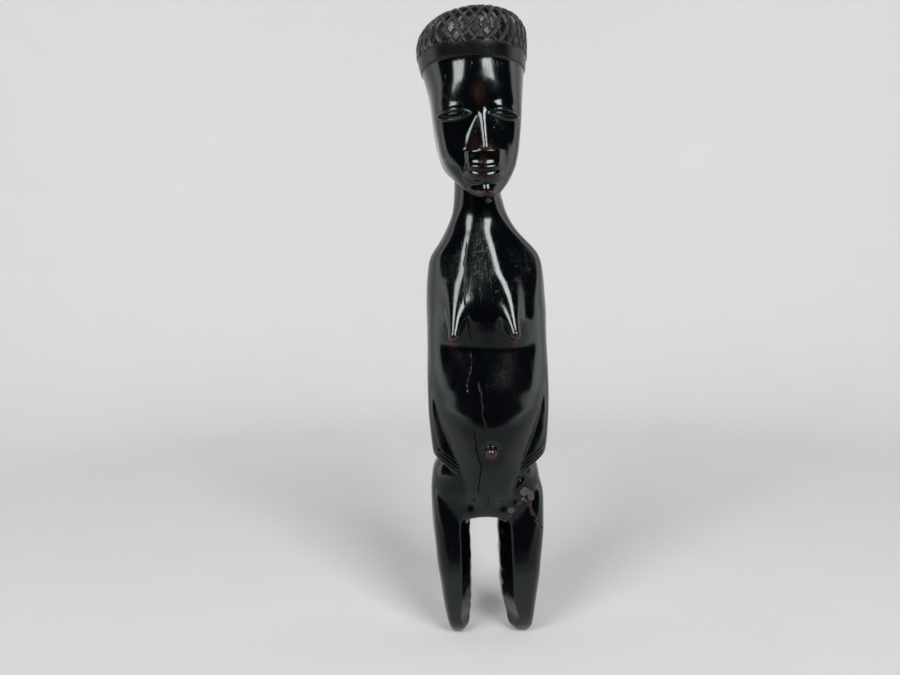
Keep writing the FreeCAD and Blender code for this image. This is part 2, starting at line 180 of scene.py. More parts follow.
# ---- legs: outer and inner side, front and back
RL_OUT = table([(-4, -15.6), (0, -16.6), (1.3, -17.4), (4, -18.4), (7, -19.2), (12.4, -20.2), (17.9, -21.0), (23.5, -21.7), (29, -22.4), (34.5, -23.0), (40, -23.5), (45.4, -24.0), (50.9, -24.4), (60, -24.4)], 0.7)
RL_IN = table([(-4, -12.8), (0, -11.7), (1.3, -10.6), (4, -9.2), (7.6, -8.8), (11.3, -8.5), (17, -8.2), (26, -8.0), (37, -8.0), (46, -8.2), (52, -8.0), (60, -6.0)], 0.7)
LL_OUT = table([(-4, 15.8), (0, 17.3), (0.7, 18.0), (3.4, 18.9), (6.2, 19.3), (11.7, 19.9), (17.2, 20.6), (22.7, 21.3), (28.2, 22.1), (33.7, 22.7), (39.1, 23.3), (44.6, 23.9), (50, 24.2), (60, 24.2)], 0.7)
LL_IN = table([(-4, 13.0), (0, 11.4), (1.7, 9.6), (3.6, 8.2), (7.3, 7.8), (11, 6.8), (16.6, 5.2), (25.7, 4.6), (36.7, 4.4), (45.8, 4.2), (52, 4.0), (60, 2.6)], 0.7)
LEG_FRONT = table([(-4, -0.6), (0, -1.6), (1, -3.4), (2, -4.8), (4, -6.6), (8, -8.7), (12, -10.2), (19, -12.2), (25, -13.6), (29.5, -14.4), (33, -14.2), (38, -13.4), (44, -12.5), (50, -11.6), (56, -10.6), (60, -9.7), (64, -8.3), (68, -6.4), (74, -4.0)], 0.8)
LEG_BACK = table([(-4, 2.0), (0, 3.4), (1.5, 5.6), (3, 7.2), (6, 8.9), (15, 11.4), (28, 13.0), (40, 13.8), (50, 14.0), (66, 13.0)], 1.6)

# ---- head
HW = table([(183, 2.0), (186, 3.6), (188.6, 5.4), (191, 7.2), (194, 9.2), (197, 10.9), (199, 12.1), (201.3, 13.5), (203.7, 14.8), (206.2, 15.7), (208.6, 16.4), (211, 17.0), (216, 17.8), (221.4, 18.5), (226.4, 19.05), (231.4, 19.6), (236.4, 20.25), (238.7, 20.7), (241.6, 21.3), (245, 21.9), (247, 22.4), (250.5, 22.9), (253, 23.2), (258, 23.2), (275, 23.0)], 1.0)
HX = table([(186, -1.0), (199, -1.5), (203, -1.9), (208, -2.35), (216, -2.75), (226, -3.0), (236, -3.1), (242, -3.4), (247, -3.9), (253, -4.3), (258, -4.2), (264, -3.6), (268, -2.6), (272, -1.8)], 1.6)
HY = table([(186, -6.5), (195, -5.0), (205, -4.0), (225, -3.6), (235, -1.0), (244, 1.6), (275, 1.8)], 3.0)
H_YF = table([(183, -13.0), (186, -15.4), (188.5, -16.5), (191, -17.0), (193, -17.1), (196, -17.0), (200, -16.7), (204, -16.6), (209, -16.7), (215, -17.3), (220, -18.0), (224, -18.8), (228, -19.6), (231.5, -20.5), (236, -21.2), (241, -21.4), (245, -21.4), (250, -22.6), (254, -23.0), (275, -22.6)], 1.2)
H_RIDGE = table([(184, 0.4), (190, 1.4), (196, 2.4), (202, 3.8), (209, 4.9), (214, 3.9), (218, 2.7), (221, 1.6), (223, 0.8), (226, 0.15), (228, 0.0), (240, 0.0)], 1.2)
H_YB = table([(183, 1.0), (190, 6.0), (195, 9.2), (200, 12.4), (207, 16.6), (215, 20.0), (225, 22.6), (235, 24.0), (245, 24.8), (255, 24.9), (275, 24.6)], 2.6)
H_POW = table([(186, 2.2), (194, 2.5), (202, 2.9), (224, 2.9), (232, 2.35), (240, 2.1), (246, 2.02), (275, 2.0)], 2.5)

TURN = math.radians(4.0)

# Lines on the front of the figure, seen from the front (x, z).
BREAK = [(-1.0, 49.4), (0.9, 50.6), (5.1, 53.4), (8.0, 54.9), (10.6, 57.2), (12.7, 60.8), (15.7, 64.2), (17.6, 60.0), (19.3, 55.3), (23.6, 47.6), (29.6, 39.6)]
FILLED = [(-4.2, 114.6), (-4.0, 112.4), (-3.2, 109.6), (-3.1, 106.4), (-2.7, 103.6), (-3.0, 101.0), (-1.9, 97.0), (-1.3, 93.4)]
CHEST_CRACK = [(-7.9, 172.4), (-8.5, 168.0), (-9.3, 163.5), (-8.8, 160.0), (-9.0, 154.0), (-9.3, 148.0), (-8.7, 141.5), (-7.6, 135.0), (-7.1, 130.4)]
UPPER_CRACK = [(-7.2, 126.4), (-6.9, 122.8), (-7.2, 119.2), (-8.4, 115.2), (-8.9, 112.6), (-8.6, 109.0)]
LOWER_CRACK = [(-6.4, 95.0), (-5.9, 89.2), (-5.4, 84.6), (-4.1, 80.0), (-3.3, 76.8), (-4.3, 73.4), (-4.6, 69.6), (-4.7, 65.0)]
GROIN = [(15.4, 72.6), (13.8, 71.8), (11.6, 70.0), (10.0, 66.6), (10.0, 63.0), (11.6, 59.6)]
SMALL_CRACK = [(0.0, 65.6), (-0.4, 62.2), (-1.2, 58.4)]


def arms_and_chest(x, y, z):
    left, right = at(T_L, np.minimum(z, 194.0)), at(T_R, np.minimum(z, 194.0))
    cx, a = (left + right) / 2, (right - left) / 2
    f = section(x, y, cx, 2.5, a, at(A_FRONT, z), at(A_BACK, z), at(A_POW, z))
    # the hands end on the hips, their lower edge dropping towards the groin
    reach = np.abs(x - 0.4)
    lower = 72.2 + np.maximum(reach - 12.0, 0.0) * 0.74 + 0.02 * reach**2 * step(0, 14, y + 4)
    return smax(smax(f, (lower - z) * 0.8, 1.4), z - 216.0, 4.0)


def belly(x, y, z):
    cx = 0.45
    f = section(x, y, cx, 3.0, at(B_WIDE, z), at(B_FRONT, z), 8.0, at(B_POW, z))
    return smax(f, z - 131.0, 2.0)


def hips(x, y, z):
    left, right = at(H_L, z), at(H_R, z)
    f = section(
        x, y, (left + right) / 2, 2.0, (right - left) / 2, at(H_FRONT, z), at(H_BACK, z), 2.7
    )
    f = smax(f, z - 86.0, 3.0)
    # two low buttocks with a shallow cleft
    seat = np.minimum(
        ellipsoid(x, y, z, (-10.6, 9.6, 63.0), (12.2, 11.6, 13.0)),
        ellipsoid(x, y, z, (10.2, 9.6, 63.0), (12.2, 11.6, 13.0)),
    )
    return smin(f, seat, 2.6)


def chest(x, y, z):
    """The rounded middle of the chest, running up into the neck."""
    b = at(C_FRONT, z)
    front = 2.5 - b - y
    f = smax(front, (x - at(C_RIGHT, z)) * 0.5 + front * 0.866, 1.9)
    f = smax(f, (at(C_LEFT, z) - x) * 0.5 + front * 0.866, 1.9)
    left, right = at(T_L, z), at(T_R, z)
    side = section(x, y, (left + right) / 2, 2.5, (right - left) / 2 - 0.3, b + 2.0, 8.0, 2.0)
    f = smax(f, side, 2.0)
    return smax(smax(f, z - 196.0, 6.0), (139.0 - z) * 0.6, 5.0)


def breasts(x, y, z):
    right = capsule(x, y, z, (-11.0, -8.9, 151.0), (-14.0, -21.5, 133.2), 7.4, 2.4)
    left = capsule(x, y, z, (7.6, -8.9, 151.0), (10.9, -21.5, 133.4), 7.4, 2.4)
    return np.minimum(right, left)


def trunk(x, y, z):
    f = arms_and_chest(x, y, z)
    b = belly(x, y, z)
    f = smin(f, b, 0.9)
    f = smin(f, hips(x, y, z), 1.1)
    near = (y < 6) & (z > 122) & (z < 210)
    g = f.copy()
    if near.any():
        xn, yn, zn = x[near], y[near], z[near]
        g[near] = smin(smin(f[near], chest(xn, yn, zn), 2.5), breasts(xn, yn, zn), 4.2)
    f = g
    # underside between the legs, arched from front to back
    under = 52.7 + 0.012 * (y - 1.0) ** 2 - 0.018 * (x + 0.8) ** 2
    return smax(f, (under - z) * 0.9, 3.2)


def leg(x, y, z, outer, inner, side):
    o, i = at(outer, z), at(inner, z)
    yf, yb = at(LEG_FRONT, z), at(LEG_BACK, z)
    cx, a = (o + i) / 2, np.abs(o - i) / 2
    cy = 0.5
    f = section(x, y, cx, cy, a, cy - yf, yb - cy, 3.6)
    # slanted inner facet, cut back from the ridge on the front of the leg
    inset = (4.9 if side > 0 else 4.1) * (0.18 + 0.82 * step(-1.0, 10.0, z))
    px, py = i + side * inset * 0.98, yf + 0.9
    nx, ny = -side * 0.86, -0.51
    facet = (x - px) * nx + (y - py) * ny
    f = smax(f, facet, 0.9)
    return smax(f, -z, 1.2)


def head(x, y, z):
    cx, cy = at(HX, z), at(HY, z)
    c, s = math.cos(TURN), math.sin(TURN)
    turn = 1.0 - step(238.0, 250.0, z)
    dx, dy = x - cx, y - 1.0
    tx = cx + dx * (1 - turn * (1 - c)) + dy * s * turn
    ty = 1.0 + dy * (1 - turn * (1 - c)) - dx * s * turn
    yf, yb = at(H_YF, z), at(H_YB, z)
    p = at(H_POW, z) + 0.22 * step(226.0, 214.0, z)
    a = at(HW, z)
    dyy = ty - cy
    front, back = cy - yf, yb - cy
    b = np.where(dyy < 0, front, back)
    u = np.abs((tx - cx) / a) + 1e-6
    v = np.abs(dyy / b) + 1e-6
    g = (u**p + v**p) ** (1.0 / p)
    w = np.maximum(z - 255.5 - 0.045 * (x - 4.0), 0.0) / 14.7
    n = 2.55
    g3 = (g**n + w**n) ** (1.0 / n)
    slope = g ** (1.0 - p) * np.sqrt((u ** (p - 1.0) / a) ** 2 + (v ** (p - 1.0) / b) ** 2)
    f = (g3 - 1.0) / slope
    # underside of the jaw, rising from the chin towards the neck
    jaw = 188.4 + (y + 19.5) * 0.62 + 0.010 * (x + 0.6) ** 2
    return smax(f, (jaw - z) * 0.85, 1.6)


def face(x, y, z, f):
    """Nose and mouth block."""
    # nose: narrow ridge that widens and rises to its blunt tip, cut off flat below
    t = np.clip((226.0 - z) / 17.3, 0.0, 1.0)
    ridge_x = -0.95 + 1.05 * t
    off = np.sqrt((x - ridge_x) ** 2 + 3.6) - 1.9
    rise = (0.10 + 1.05 * t) * step(208.0, 208.9, z) * step(228.0, 222.0, z)
    ridge = at(H_RIDGE, z)
    pitch = 0.48 + 0.24 * step(0.6, -0.6, x - ridge_x)
    q = 1.0 - off / np.maximum(ridge / pitch, 1.5)
    wedge = 0.5 * (q + np.sqrt(q * q + 0.07))
    f = f - rise * np.exp(-off / 2.0) - ridge * wedge
    # mouth block with its hollowed upper lip
    mid = -0.6
    side = x - mid
    sag = 0.040 * side**2 * step(204.5, 200.5, z)
    zz = z - sag
    half_w = np.interp(zz, [195.0, 196.5, 198.4, 199.3, 200.5, 204.0, 208.6], [7.0, 7.6, 7.4, 6.6, 7.2, 7.2, 7.4])
    block = (at(MOUTH, zz) + 0.042 * side**2) - y
    block = smax(block, np.abs(side) - half_w - 0.5, 5.0)
    block = smax(block, z - 208.6, 2.2)
    block = smax(block, 195.8 - zz, 2.0)
    block = smax(block, y + 15.0, 0.5)
    return smin(f, block, 2.0)


def eye_relief(x, z, outer, inner, top, low, flip):
    """Raised almond rim round a narrower raised almond, in the plane of the face."""
    (xo, zo), (xi, zi) = outer, inner
    t = (x - xo) / (xi - xo)
    base = zo + (zi - zo) * t
    inside = (t > 0) & (t < 1)
    tc = np.clip(t, 0, 1)
    # upper arc peaks nearer the nose, lower arc dips nearer the temple
    up = base + top * (4 * tc * (1 - tc)) ** 0.75 * (1 + 0.35 * (tc - 0.5))
    lo = base - low * (4 * tc * (1 - tc)) ** 0.75 * (1 - 0.5 * (tc - 0.5))
    over = np.hypot(np.maximum(t - 1, 0) * abs(xi - xo) + np.maximum(-t, 0) * abs(xi - xo), 0)
    d_up, d_lo = z - up, lo - z
    d = np.maximum(np.maximum(d_up, d_lo), -9.0)
    d = np.where(inside, d, np.hypot(over, np.abs(z - base)))
    rim = 0.50 * np.exp(-((d + 0.0) / 0.38) ** 2)
    bed = -0.40 * step(-0.25, -0.70, d)
    ball = 0.50 * step(-0.75, -1.15, d)
    brow = 0.26 * np.exp(-((d - 1.5) / 1.2) ** 2) * (z > base) * step(0.0, 0.3, t) * step(1.0, 0.7, t)
    return rim + bed + ball + brow


def lattice(s, t, seed):
    """Two crossed families of hand-cut grooves over a strip: s runs round, t runs up."""
    rng = np.random.default_rng(seed)
    cut = np.zeros(s.shape)
    cells = []
    for angle, sign in ((62.0, 1.0), (56.0, -1.0)):
        a = math.radians(angle)
        q = (s * math.sin(a) * sign + t * math.cos(a)) / 3.75
        q = q + 0.10 * np.sin(s * 0.21 + angle) + 0.08 * np.sin(t * 0.35 + s * 0.1 + 2 * angle)
        cell = np.floor(q)
        frac = q - cell
        index = (cell.astype(int) % 97 + 97) % 97
        jitter = rng.uniform(-0.10, 0.10, 97)
        width = rng.uniform(0.15, 0.21, 97)
        depth = rng.uniform(0.52, 0.82, 97)
        edge = np.minimum(np.abs(frac - jitter[index] * 0.5), np.abs(1 + jitter[(index + 1) % 97] * 0.5 - frac))
        v = np.clip(1 - edge / width[index], 0, 1)
        cut = np.maximum(cut, depth[index] * v**0.9)
        cells.append((index, frac - 0.5))
    (i, fi), (j, fj) = cells
    tilt = rng.uniform(-1, 1, (97, 97, 2))
    lift = (tilt[i, j, 0] * fi + tilt[i, j, 1] * fj) * 0.30 + 0.10 * (tilt[j, i, 0])
    return cut, lift


def hair(x, y, z):
    """Relief over the cap: plain band below, cross-hatching above. Positive stands out."""
    cx, cy = -4.0, 1.6
    dx, dy = x - cx, y - cy
    r = np.hypot(dx, dy) + 1e-6
    phi = np.arctan2(dx, -dy)
    s = phi * 22.9
    rim = np.maximum(0.0, (255.5 - z))
    t = np.where(z < 257, z - 251, 6 + (22.5 - r) * 0.55 + (z - 257) * 0.75)
    cut, lift = lattice(s, t, 11)
    flat_cut, flat_lift = lattice(dx * 1.02 + 40, dy + 23, 12)
    top = step(13.5, 10.5, r) * (z > 262)
    cut = cut * (1 - top) + flat_cut * top
    lift = lift * (1 - top) + flat_lift * top
    seam = 251.0 + 0.35 * np.sin(phi * 7.0) + 0.25 * np.sin(phi * 23.0 + 1.0)
    on = step(seam - 0.15, seam + 0.45, z)
    band = step(245.35, 245.95, z + 0.25 * np.sin(phi * 3.0))
    ledge = 0.55 * band
    return ledge + on * (0.28 + lift * 0.75 - cut)


def groove(x, y, z, points, width, depth, seed, fade=1.0):
    xs = x + 0.16 * ripple(x, y * 0.1, z, waves(seed, 6, 1.6, 5.0))
    d, along, total = line_dist(xs, z, points)
    ends = step(0.0, 2.0 * fade, along) * step(total, total - 2.0 * fade, along)
    w = width * (0.55 + 0.45 * ends)
    return depth * ends * np.clip(1 - d / w, 0, 1) ** 0.8


def figure_base(x, y, z):
    """Main forms, without fine work."""
    f = trunk(x, y, z)
    low = z < 75
    if low.any():
        xl, yl, zl = x[low], y[low], z[low]
        legs = np.minimum(
            leg(xl, yl, zl, RL_OUT, RL_IN, -1.0), leg(xl, yl, zl, LL_OUT, LL_IN, 1.0)
        )
        legs = smax(legs, zl - 68.0, 8.0)
        g = f.copy()
        g[low] = smin(f[low], legs, 3.0)
        f = g
    high = z > 180
    if high.any():
        xh, yh, zh = x[high], y[high], z[high]
        h = head(xh, yh, zh)
        g = f.copy()
        g[high] = smin(f[high], h, 1.6)
        f = g
    return f


NAVEL = (0.6, -19.6, 83.9)


def figure(x, y, z):
    f = figure_base(x, y, z)
    x, y, z = np.asarray(x, float), np.asarray(y, float), np.asarray(z, float)
    near = f < 9.0
    if not near.any():
        return f
    xn, yn, zn, fn = x[near], y[near], z[near], f[near]
    # face
    m = (zn > 190) & (zn < 232) & (yn < -12)
    if m.any():
        fn[m] = face(xn[m], yn[m], zn[m], fn[m])
    # navel knob in a shallow dish
    m = (np.abs(zn - NAVEL[2]) < 9) & (np.abs(xn - NAVEL[0]) < 9) & (yn < -10)
    if m.any():
        xx, yy, zz = xn[m], yn[m], zn[m]
        r = np.hypot(xx - NAVEL[0], (zz - NAVEL[2]) * 0.95)
        dish = 0.40 * np.exp(-((r - 3.3) / 1.5) ** 2)
        fn[m] = smin(
            fn[m] + dish,
            ellipsoid(xx, yy, zz, (NAVEL[0], NAVEL[1] + 1.0, NAVEL[2] + 0.2), (2.9, 3.1, 2.9)),
            0.9,
        )
    d = np.zeros(xn.shape)
    # eyes
    m = (zn > 216) & (zn < 231) & (yn < -6)
    if m.any():
        d[m] += eye_relief(xn[m], zn[m], (-19.4, 223.4), (-5.9, 223.2), 1.5, 2.1, 0)
        d[m] += eye_relief(xn[m], zn[m], (14.2, 223.0), (2.0, 223.3), 1.7, 1.5, 1)
        # sloping plane above the left eye
        d[m] += 0.42 * np.exp(-(((xn[m] - 6.6) / 4.6) ** 2 + ((zn[m] - 226.2) / 2.0) ** 2))
    # chin knob, with a shallow groove across the face just above it
    m = (zn > 186) & (zn < 236) & (yn < -8)
    if m.any():
        xx, zz = xn[m], zn[m]
        d[m] += 1.0 * np.exp(-(((xx - 1.3) / 4.2) ** 2 + ((zz - 192.0) / 3.0) ** 2))
        d[m] -= 0.25 * np.exp(-(((zz - 194.6) / 1.1) ** 2 + ((xx - 0.2) / 7.0) ** 4))
    # cap
    m = zn > 243.5
    if m.any():
        d[m] += hair(xn[m], yn[m], zn[m])
    # fingers: grooves on the back of each hand, running down to the groin
    m = (zn > 70) & (zn < 84) & (yn < 2)
    if m.any():
        xx, yy, zz = xn[m], yn[m], zn[m]
        for side, cxx in ((-1.0, 0.4), (1.0, 0.4)):
            reach = (xx - cxx) * side
            low = 72.2 + np.maximum(reach - 12.0, 0.0) * 0.74
            across = (zz - low) * 0.80
            on = step(10.0, 13.0, reach) * step(25.0, 22.5, reach)
            for k in range(3):
                d[m] -= 0.13 * on * np.exp(-(((across - 1.2 - 1.25 * k) / 0.30) ** 2))
    # spine and the edges of the arms on the back
    m = (yn > 2) & (zn > 78) & (zn < 176)
    if m.any():
        xx, zz = xn[m], zn[m]
        mid = step(80, 96, zz) * step(176, 160, zz)
        d[m] -= 1.1 * mid * np.exp(-(((xx - 0.3) / 2.6) ** 2))
        for side in (-1.0, 1.0):
            edge = 18.6 + 0.8 * np.sin((zz - 80) / 90 * math.pi)
            d[m] -= 1.15 * mid * np.exp(-(((xx * side - edge) / 1.1) ** 2))
    m = (yn > 4) & (zn > 50) & (zn < 76)
    if m.any():
        d[m] -= 1.7 * np.exp(-((xn[m] / 1.5) ** 2)) * step(50, 56, zn[m]) * step(76, 68, zn[m])
    # groin: crease beside the left thigh and a dimple at the top of each leg
    m = (zn > 52) & (zn < 80) & (yn < -3)
    if m.any():
        dist, along, total = line_dist(xn[m], zn[m], GROIN)
        ends = step(0.0, 3.0, along) * step(total, total - 3.0, along)
        d[m] -= 0.80 * ends * np.exp(-((dist / 1.5) ** 2))
        d[m] -= 1.8 * np.exp(-(((xn[m] + 7.6) / 2.8) ** 2 + ((zn[m] - 60.2) / 3.2) ** 2))
        d[m] -= 1.8 * np.exp(-(((xn[m] - 5.4) / 2.8) ** 2 + ((zn[m] - 60.0) / 3.2) ** 2))
    # drying checks
    front = yn < -5
    m = front & (zn > 106) & (zn < 175) & (np.abs(xn + 8.3) < 3.5)
    if m.any():
        d[m] -= groove(xn[m], yn[m], zn[m], CHEST_CRACK, 0.24, 0.55, 21)
        d[m] -= groove(xn[m], yn[m], zn[m], UPPER_CRACK, 0.20, 0.30, 22)
    m = front & (zn > 90) & (zn < 117) & (np.abs(xn + 2.8) < 3.5)
    if m.any():
        d[m] -= groove(xn[m], yn[m], zn[m], FILLED, 0.28, 0.8, 23)
    m = front & (zn > 56) & (zn < 98) & (np.abs(xn + 3.2) < 5.5)
    if m.any():
        d[m] -= groove(xn[m], yn[m], zn[m], LOWER_CRACK, 0.24, 0.60, 24)
        d[m] -= groove(xn[m], yn[m], zn[m], SMALL_CRACK, 0.20, 0.35, 25)
    # knife work left on the slanted insides of the legs
    m = (zn < 52) & (zn > 3) & (np.abs(xn + 2.0) < 15)
    if m.any():
        xx, yy, zz = xn[m], yn[m], zn[m]
        inner = np.exp(-np.maximum(np.abs(xx + 1.9) - 7.0, 0) / 1.6) * step(-14, -9, yy)
        d[m] += np.where(xx > 0, 0.26, 0.12) * inner * ripple(xx, yy, zz, KNIFE, (1.0, 0.5, 1.0))
    # slow unevenness everywhere
    d += 0.10 * ripple(xn, yn, zn, HAND)
    # the break: chipped edges on both sides of the joint
    m = (zn > 38) & (zn < 70) & (xn > -3)
    if m.any():
        xx, yy, zz = xn[m], yn[m], zn[m]
        dist = break_side(xx, yy, zz)
        chips = np.clip(0.55 + 0.75 * ripple(xx, yy, zz, CHIP), 0, 2)
        d[m] -= 0.42 * chips * np.clip(1 - np.abs(dist) / (0.25 + 0.45 * chips), 0, 1)
    out = f.copy()
    out[near] = fn - d
    return out


def break_side(x, y, z):
    """Signed distance to the break: below and inside the left leg it is negative. Front to back it wanders a little."""
    wx = x + 0.28 * np.sin(y * 0.55 + 0.6) + 0.10 * np.sin(z * 1.9 + y) + 0.10 * (y + 13.0) * 0.25
    wz = z + 0.35 * np.sin(y * 0.42) + 0.12 * np.sin(x * 2.3)
    d, _, _ = line_dist(wx, wz, BREAK)
    px = np.array([p[0] for p in BREAK])
    pz = np.array([p[1] for p in BREAK])
    return np.where(wz < np.interp(wx, px, pz, left=-99.0), -d, d)


# -------------------------------------------------------------------- meshing
def surface_net(field, low, high, h):
    low = np.array(low, float)
    count = np.ceil((np.array(high, float) - low) / h).astype(int) + 1
    nx, ny, nz = (int(c) for c in count)
    xs, ys, zs = (low[i] + h * np.arange(count[i]) for i in range(3))
    vals = np.empty((nx, ny, nz))
    for k in range(0, nz, 12):
        part = np.meshgrid(xs, ys, zs[k : k + 12], indexing="ij")
        flat = [p.ravel() for p in part]
        vals[:, :, k : k + 12] = field(*flat).reshape(part[0].shape)
    inside = vals < 0
    cells, where, quads, turned = [], [], [], []
    dims = (nx - 1, ny - 1, nz - 1)
    for axis in range(3):
        u, v = (axis + 1) % 3, (axis + 2) % 3
        head_, tail = [slice(None)] * 3, [slice(None)] * 3
        head_[axis], tail[axis] = slice(0, -1), slice(1, None)
        change = inside[tuple(head_)] != inside[tuple(tail)]
        change &= True
        idx = np.stack(np.nonzero(change), 1)
        ok = (
            (idx[:, u] > 0)
            & (idx[:, v] > 0)
            & (idx[:, u] < count[u] - 1)
            & (idx[:, v] < count[v] - 1)
        )
        idx = idx[ok]
        nxt = idx.copy()
        nxt[:, axis] += 1
        v0 = vals[idx[:, 0], idx[:, 1], idx[:, 2]]
        v1 = vals[nxt[:, 0], nxt[:, 1], nxt[:, 2]]
        pos = low + h * idx
        pos[:, axis] += h * v0 / (v0 - v1)
        corners = []
        for du, dv in ((-1, -1), (0, -1), (0, 0), (-1, 0)):
            c = idx.copy()
            c[:, u] += du
            c[:, v] += dv
            corners.append((c[:, 0] * dims[1] + c[:, 1]) * dims[2] + c[:, 2])
        corners = np.stack(corners, 1)
        cells.append(corners.ravel())
        where.append(np.repeat(pos, 4, axis=0))
        quads.append(corners)
        turned.append(v0 >= 0)
    allcells = np.concatenate(cells)
    allpos = np.concatenate(where)
    uniq, inv = np.unique(allcells, return_inverse=True)
    n = len(uniq)
    total = np.bincount(inv, minlength=n).astype(float)
    points = np.stack([np.bincount(inv, allpos[:, i], minlength=n) / total for i in range(3)], 1)
    q = np.searchsorted(uniq, np.concatenate(quads))
    turned = np.concatenate(turned)
    q[turned] = q[turned][:, ::-1]
    d1 = np.linalg.norm(points[q[:, 0]] - points[q[:, 2]], axis=1)
    d2 = np.linalg.norm(points[q[:, 1]] - points[q[:, 3]], axis=1)
    a, b = q[d1 <= d2], q[d1 > d2]
    faces = np.concatenate([a[:, [0, 1, 2]], a[:, [0, 2, 3]], b[:, [0, 1, 3]], b[:, [1, 2, 3]]])
    return points, faces


def gradient(field, p, eps):
    g = np.empty_like(p)
    for i in range(3):
        q, r = p.copy(), p.copy()
        q[:, i] += eps
        r[:, i] -= eps
        g[:, i] = (field(*q.T) - field(*r.T)) / (2 * eps)
    return g


def project(field, p, reach=0.5, times=2, eps=0.08):
    p = p.copy()
    for _ in range(times):
        f = field(*p.T)
        g = gradient(field, p, eps)
        n2 = np.maximum((g * g).sum(1), 0.08)
        move = -(f / n2)[:, None] * g
        length = np.linalg.norm(move, axis=1)
        p += move * np.minimum(1.0, reach / np.maximum(length, 1e-9))[:, None]
    return p


def edges_of(faces, n):
    e = np.concatenate([faces[:, [0, 1]], faces[:, [1, 2]], faces[:, [2, 0]]])
    e = np.sort(e, axis=1)
    key, inv = np.unique(e[:, 0].astype(np.int64) * n + e[:, 1], return_inverse=True)
    return np.stack([key // n, key % n], 1), inv.reshape(3, -1).T


def relax(field, p, faces, times, reach):
    n = len(p)
    e, _ = edges_of(faces, n)
    deg = np.bincount(e.ravel(), minlength=n).astype(float)
    for _ in range(times):
        mean = np.stack(
            [
                np.bincount(e[:, 0], p[e[:, 1], i], minlength=n)
                + np.bincount(e[:, 1], p[e[:, 0], i], minlength=n)
                for i in range(3)
            ],
            1,
        ) / np.maximum(deg, 1)[:, None]
        move = (mean - p) * 0.55
        nrm = face_normals(p, faces)
        move -= (move * nrm).sum(1)[:, None] * nrm
        p = project(field, p + move, reach, 1)
    return p


def face_normals(p, faces):
    a, b, c = p[faces[:, 0]], p[faces[:, 1]], p[faces[:, 2]]
    fn = np.cross(b - a, c - a)
    n = np.stack(
        [sum(np.bincount(faces[:, k], fn[:, i], minlength=len(p)) for k in range(3)) for i in range(3)],
        1,
    )
    return n / np.maximum(np.linalg.norm(n, axis=1), 1e-12)[:, None]


def refine(field, p, faces, size, passes):
    for step_ in range(passes):
        n = len(p)
        e, fe = edges_of(faces, n)
        mid = (p[e[:, 0]] + p[e[:, 1]]) / 2
        length = np.linalg.norm(p[e[:, 0]] - p[e[:, 1]], axis=1)
        mark = length > size(*mid.T) * 1.3
        if not mark.any():
            break
        number = np.full(len(e), -1)
        number[mark] = n + np.arange(mark.sum())
        p = np.concatenate([p, mid[mark]])
        m = number[fe]
        hit = m >= 0
        total = hit.sum(1)
        out = [faces[total == 0]]
        t = total == 3
        f, k = faces[t], m[t]
        out += [
            np.stack([f[:, 0], k[:, 0], k[:, 2]], 1),
            np.stack([k[:, 0], f[:, 1], k[:, 1]], 1),
            np.stack([k[:, 2], k[:, 1], f[:, 2]], 1),
            k,
        ]
        for r in range(3):
            t = (total == 1) & hit[:, r]
            f, k = np.roll(faces[t], -r, 1), np.roll(m[t], -r, 1)
            out += [
                np.stack([f[:, 0], k[:, 0], f[:, 2]], 1),
                np.stack([k[:, 0], f[:, 1], f[:, 2]], 1),
            ]
            t = (total == 2) & ~hit[:, (r + 2) % 3]
            f, k = np.roll(faces[t], -r, 1), np.roll(m[t], -r, 1)
            out.append(np.stack([k[:, 0], f[:, 1], k[:, 1]], 1))
            one = np.linalg.norm(p[f[:, 0]] - p[k[:, 1]], axis=1)
            two = np.linalg.norm(p[k[:, 0]] - p[f[:, 2]], axis=1)
            s = one <= two
            out += [
                np.stack([f[s, 0], k[s, 0], k[s, 1]], 1),
                np.stack([f[s, 0], k[s, 1], f[s, 2]], 1),
                np.stack([f[~s, 0], k[~s, 0], f[~s, 2]], 1),
                np.stack([k[~s, 0], k[~s, 1], f[~s, 2]], 1),
            ]
        faces = np.concatenate(out)
        p[n:] = project(field, p[n:], 0.4, 2)
        p = relax(field, p, faces, 2, 0.3)
    return p, faces


def largest(p, faces, keep):
    """Drop crumbs smaller than `keep` triangles."""
    n = len(p)
    e, _ = edges_of(faces, n)
    label = np.arange(n)
    while True:
        low = np.minimum(label[e[:, 0]], label[e[:, 1]])
        new = label.copy()
        np.minimum.at(new, e[:, 0], low)
        np.minimum.at(new, e[:, 1], low)
        new = new[new]
        if (new == label).all():
            break
        label = new
    lf = label[faces[:, 0]]
    ids, inv, cnt = np.unique(lf, return_inverse=True, return_counts=True)
    faces = faces[cnt[inv] >= keep]
    used, inv = np.unique(faces, return_inverse=True)
    return p[used], inv.reshape(-1, 3)


